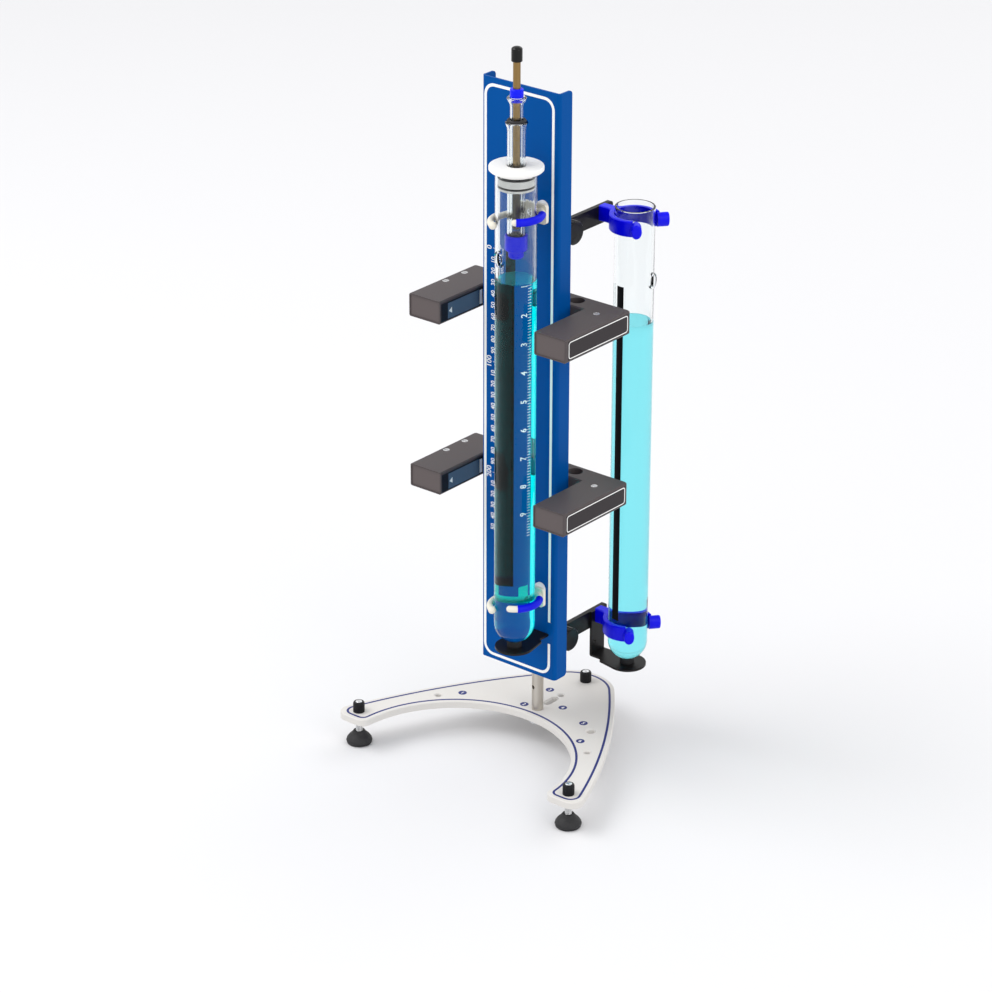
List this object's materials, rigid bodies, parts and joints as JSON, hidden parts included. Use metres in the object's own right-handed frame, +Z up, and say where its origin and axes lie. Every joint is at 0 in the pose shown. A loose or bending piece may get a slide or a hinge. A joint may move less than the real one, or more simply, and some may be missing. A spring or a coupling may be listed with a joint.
{
  "type": "falling ball viscometer",
  "caption": "Falling ball viscometer: glass tube with release device before a blue scale panel on a rod, sliding light gates, spare tube on swivel arms, three-footed levelling plate.",
  "frame": {"origin": "centre of the instrument's footprint box, on the bench plane under the rubber feet", "axes": "+Z up along the support rod, +X to the user's right when facing the scale panel, +Y away from the user, so the printed panel face looks to -Y"},
  "size_m": [0.2612, 0.2078, 0.6448],
  "materials": {
    "plate_paint": "satin",
    "steel_rod": "brushed",
    "zinc_steel": "bright",
    "black_plastic": "matte",
    "black_rubber": "matte",
    "panel_paint": "gloss",
    "clamp_metal": "machined",
    "cream_plastic": "satin",
    "blue_sleeve": "satin",
    "white_plastic": "satin",
    "black_paint": "satin",
    "gate_case": "satin",
    "dark_lens": "clear",
    "blue_dip": "gloss",
    "tube_glass": "clear",
    "black_film": "satin",
    "blue_plastic": "gloss",
    "brass_rod": "satin",
    "ball_steel": "polished"
  },
  "bodies": {
    "stand": {"base_plate": "plate_paint", "support_rod": "steel_rod", "rod_nut": "zinc_steel", "panel": "panel_paint", "panel_clamps": "clamp_metal", "panel_nuts": "zinc_steel", "clamp_screws": "zinc_steel", "front_clip_upper": "cream_plastic", "front_clip_lower": "cream_plastic", "clip_sleeve_upper": "blue_sleeve", "clip_sleeve_lower": "blue_sleeve", "clip_spacers": "white_plastic", "clip_screws": "zinc_steel", "front_shelf": "black_paint", "front_rest": "black_rubber"},
    "rear_carrier": {"rear_arm_upper": "black_paint", "rear_arm_lower": "black_paint", "rear_clip_upper": "blue_dip", "rear_clip_lower": "blue_dip", "rear_screws": "zinc_steel", "rear_shelf": "black_paint", "rear_rest": "black_rubber"},
    "arm_knob_upper": {"arm_knob_upper": "black_plastic"},
    "arm_knob_lower": {"arm_knob_lower": "black_plastic"},
    "front_tube": {"front_tube": "tube_glass", "front_strip": "black_film"},
    "rear_tube": {"rear_tube": "tube_glass", "rear_strip": "black_film"},
    "stopper": {"stopper": "white_plastic", "stopper_seals": "black_rubber", "guide_tube": "tube_glass", "guide_collar": "blue_plastic", "guide_ring": "black_rubber"},
    "drop_tube": {"drop_tube": "tube_glass", "drop_bush": "blue_plastic", "drop_tip": "blue_plastic"},
    "plunger": {"plunger_rod": "brass_rod", "rod_cap": "black_plastic"},
    "ball": {"ball": "ball_steel"},
    "gate_upper": {"gate_upper_housing": "gate_case", "gate_upper_end_plates": "gate_case", "gate_upper_lenses": "dark_lens", "gate_upper_screws": "zinc_steel", "gate_upper_socket": "black_plastic"},
    "gate_upper_knob": {"gate_upper_knob": "black_plastic"},
    "gate_lower": {"gate_lower_housing": "gate_case", "gate_lower_end_plates": "gate_case", "gate_lower_lenses": "dark_lens", "gate_lower_screws": "zinc_steel", "gate_lower_socket": "black_plastic"},
    "gate_lower_knob": {"gate_lower_knob": "black_plastic"},
    "foot_left_pad": {"foot_left_rubber": "black_rubber"},
    "foot_left_screw": {"foot_left_stud": "zinc_steel", "foot_left_knob": "black_plastic"},
    "foot_right_pad": {"foot_right_rubber": "black_rubber"},
    "foot_right_screw": {"foot_right_stud": "zinc_steel", "foot_right_knob": "black_plastic"},
    "foot_rear_pad": {"foot_rear_rubber": "black_rubber"},
    "foot_rear_screw": {"foot_rear_stud": "zinc_steel", "foot_rear_knob": "black_plastic"}
  },
  "joints": [
    {"name": "foot_left_slide", "type": "slide", "parent": "stand", "child": "foot_left_pad", "axis": [0, 0, 1], "range_m": [0, 0.01]},
    {"name": "foot_left_turn", "type": "hinge", "parent": "foot_left_pad", "child": "foot_left_screw", "pos_m": [-0.115, -0.09141, 0.03], "axis": [0, 0, 1], "range_deg": [0, 3600]},
    {"name": "foot_right_slide", "type": "slide", "parent": "stand", "child": "foot_right_pad", "axis": [0, 0, 1], "range_m": [0, 0.01]},
    {"name": "foot_right_turn", "type": "hinge", "parent": "foot_right_pad", "child": "foot_right_screw", "pos_m": [0.115, -0.09141, 0.03], "axis": [0, 0, 1], "range_deg": [0, 3600]},
    {"name": "foot_rear_slide", "type": "slide", "parent": "stand", "child": "foot_rear_pad", "axis": [0, 0, 1], "range_m": [0, 0.01]},
    {"name": "foot_rear_turn", "type": "hinge", "parent": "foot_rear_pad", "child": "foot_rear_screw", "pos_m": [0, 0.07759, 0.03], "axis": [0, 0, 1], "range_deg": [0, 3600]},
    {"name": "gate_upper_slide", "type": "slide", "parent": "stand", "child": "gate_upper", "axis": [0, 0, 1], "range_m": [-0.06, 0.03]},
    {"name": "gate_upper_knob_turn", "type": "hinge", "parent": "gate_upper", "child": "gate_upper_knob", "pos_m": [0, 0.02159, 0.4065], "axis": [0, 1, 0], "range_deg": [0, 360]},
    {"name": "gate_lower_slide", "type": "slide", "parent": "stand", "child": "gate_lower", "axis": [0, 0, 1], "range_m": [-0.1, 0.06]},
    {"name": "gate_lower_knob_turn", "type": "hinge", "parent": "gate_lower", "child": "gate_lower_knob", "pos_m": [0, 0.02159, 0.2542], "axis": [0, 1, 0], "range_deg": [0, 360]},
    {"name": "rear_swivel", "type": "hinge", "parent": "stand", "child": "rear_carrier", "pos_m": [0, 0.01059, 0.281], "axis": [0, 0, 1], "range_deg": [-25, 60]},
    {"name": "arm_knob_upper_turn", "type": "hinge", "parent": "rear_carrier", "child": "arm_knob_upper", "pos_m": [0.00905, 0.03059, 0.46505], "axis": [1, 0, 0], "range_deg": [0, 360]},
    {"name": "arm_knob_lower_turn", "type": "hinge", "parent": "rear_carrier", "child": "arm_knob_lower", "pos_m": [0.00905, 0.03059, 0.09485], "axis": [1, 0, 0], "range_deg": [0, 360]},
    {"name": "front_tube_lift", "type": "slide", "parent": "stand", "child": "front_tube", "axis": [0, 0, 1], "range_m": [0, 0.0165]},
    {"name": "rear_tube_lift", "type": "slide", "parent": "rear_carrier", "child": "rear_tube", "axis": [0, 0, 1], "range_m": [0, 0.15]},
    {"name": "stopper_lift", "type": "slide", "parent": "front_tube", "child": "stopper", "axis": [0, 0, 1], "range_m": [0, 0.08]},
    {"name": "drop_tube_slide", "type": "slide", "parent": "stopper", "child": "drop_tube", "axis": [0, 0, 1], "range_m": [-0.01, 0.06]},
    {"name": "plunger_slide", "type": "slide", "parent": "drop_tube", "child": "plunger", "axis": [0, 0, 1], "range_m": [-0.018, 0.06]},
    {"name": "ball_drop", "type": "slide", "parent": "drop_tube", "child": "ball", "axis": [0, 0, 1], "range_m": [-0.325, 0]}
  ],
  "couplings": [
    {"joint": "foot_left_turn", "follows": "foot_left_slide", "rad_per_m": 6283.2},
    {"joint": "foot_right_turn", "follows": "foot_right_slide", "rad_per_m": 6283.2},
    {"joint": "foot_rear_turn", "follows": "foot_rear_slide", "rad_per_m": 6283.2}
  ]
}
